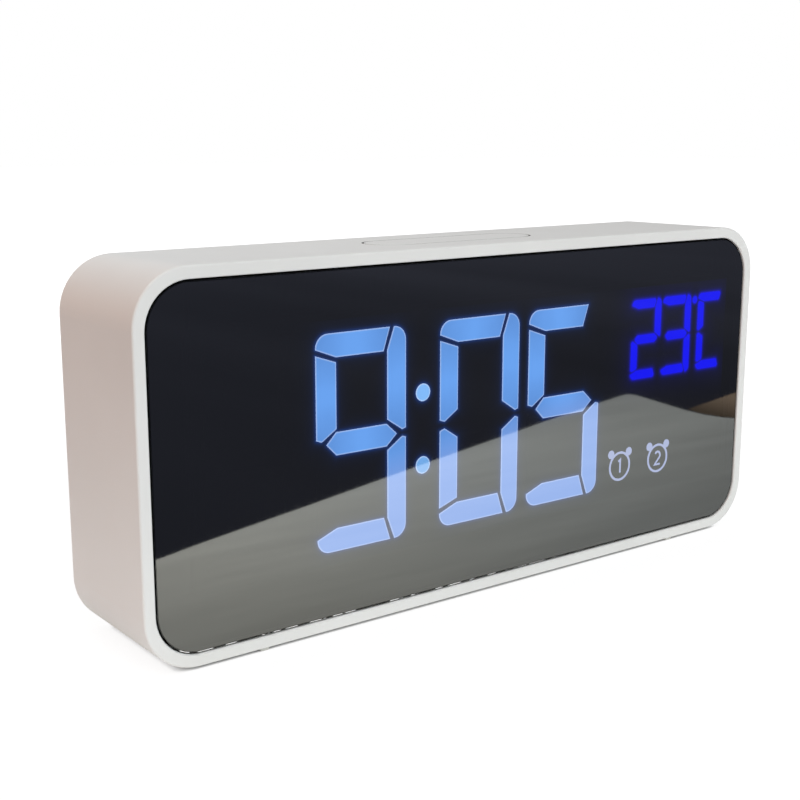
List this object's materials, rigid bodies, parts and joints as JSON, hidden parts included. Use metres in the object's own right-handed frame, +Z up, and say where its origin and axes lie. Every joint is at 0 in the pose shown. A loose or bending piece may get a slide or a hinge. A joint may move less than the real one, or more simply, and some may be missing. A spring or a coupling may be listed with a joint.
{
  "type": "digital led desk clock",
  "caption": "Box-shaped digital alarm clock with a half-mirror face, lit segment digits, an oval snooze button on top, rear keys and a battery bay with a door.",
  "frame": {"origin": "middle of the base, on the surface that the clock stands on", "axes": "+X to the right seen from the front, +Y to the rear, +Z up"},
  "size_m": [0.163, 0.031, 0.0736],
  "materials": {
    "shell_plastic": "satin silver-white paint",
    "back_plastic": "fine matt texture",
    "foot_foam": "matt",
    "half_mirror": "half-mirror film on dark acrylic",
    "tape": "adhesive foam",
    "light_box_plastic": "white moulding, black face",
    "unlit_lens": "translucent diffuser, unlit",
    "time_lens": "translucent diffuser, lit",
    "temperature_lens": "translucent diffuser, lit",
    "symbol_lens": "translucent diffuser with printed mask, lit",
    "circuit_board": "solder mask",
    "chip_plastic": "moulded",
    "chip_white": "moulded with phosphor",
    "can_metal": "drawn",
    "plated_steel": "nickel plated",
    "screw_steel": "zinc plated",
    "sensor_resin": "dipped",
    "lead_insulation": "smooth",
    "cable_insulation": "smooth",
    "cell_jacket": "printed jacket"
  },
  "bodies": {
    "housing": {"housing_shell": "shell_plastic", "foot_strips": "foot_foam", "mirror_panel": "half_mirror", "back_cover": "back_plastic", "power_socket": "plated_steel", "battery_cell_1": "cell_jacket", "battery_cell_2": "cell_jacket", "battery_cell_3": "cell_jacket", "mirror_tape": "tape", "light_box": "light_box_plastic", "hour_tens_lenses": "unlit_lens", "hour_units_lenses": "time_lens", "colon_lenses": "time_lens", "minute_tens_lenses": "time_lens", "minute_units_lenses": "time_lens", "temperature_lenses": "temperature_lens", "alarm_symbol_lenses": "symbol_lens", "display_board": "circuit_board", "led_chips": "chip_white", "clock_chip": "chip_plastic", "crystal": "can_metal", "capacitor": "can_metal", "sounder": "chip_plastic", "board_screws": "screw_steel", "snooze_board_screws": "screw_steel", "key_board_screws": "screw_steel", "cover_screws": "screw_steel", "snooze_board": "circuit_board", "snooze_switch": "chip_plastic", "key_board": "circuit_board", "key_switches": "chip_plastic", "temperature_sensor": "sensor_resin", "battery_contacts": "plated_steel", "battery_leads": "lead_insulation", "flat_cable": "cable_insulation"},
    "snooze_button": {"snooze_button": "shell_plastic"},
    "set_key": {"set_key": "back_plastic"},
    "mode_key": {"mode_key": "back_plastic"},
    "up_key": {"up_key": "back_plastic"},
    "down_key": {"down_key": "back_plastic"},
    "alarm_key": {"alarm_key": "back_plastic"},
    "battery_door": {"battery_door": "back_plastic"}
  },
  "joints": [
    {"name": "snooze_press", "type": "slide", "parent": "housing", "child": "snooze_button", "axis": [0, 0, -1], "range_m": [0, 0.0005], "stiffness_N_per_m": 1500},
    {"name": "set_press", "type": "slide", "parent": "housing", "child": "set_key", "axis": [0, -1, 0], "range_m": [0, 0.0004], "stiffness_N_per_m": 1500},
    {"name": "mode_press", "type": "slide", "parent": "housing", "child": "mode_key", "axis": [0, -1, 0], "range_m": [0, 0.0004], "stiffness_N_per_m": 1500},
    {"name": "up_press", "type": "slide", "parent": "housing", "child": "up_key", "axis": [0, -1, 0], "range_m": [0, 0.0004], "stiffness_N_per_m": 1500},
    {"name": "down_press", "type": "slide", "parent": "housing", "child": "down_key", "axis": [0, -1, 0], "range_m": [0, 0.0004], "stiffness_N_per_m": 1500},
    {"name": "alarm_press", "type": "slide", "parent": "housing", "child": "alarm_key", "axis": [0, -1, 0], "range_m": [0, 0.0004], "stiffness_N_per_m": 1500},
    {"name": "battery_door_pull", "type": "slide", "parent": "housing", "child": "battery_door", "axis": [0, 1, 0], "range_m": [0, 0.02]}
  ]
}
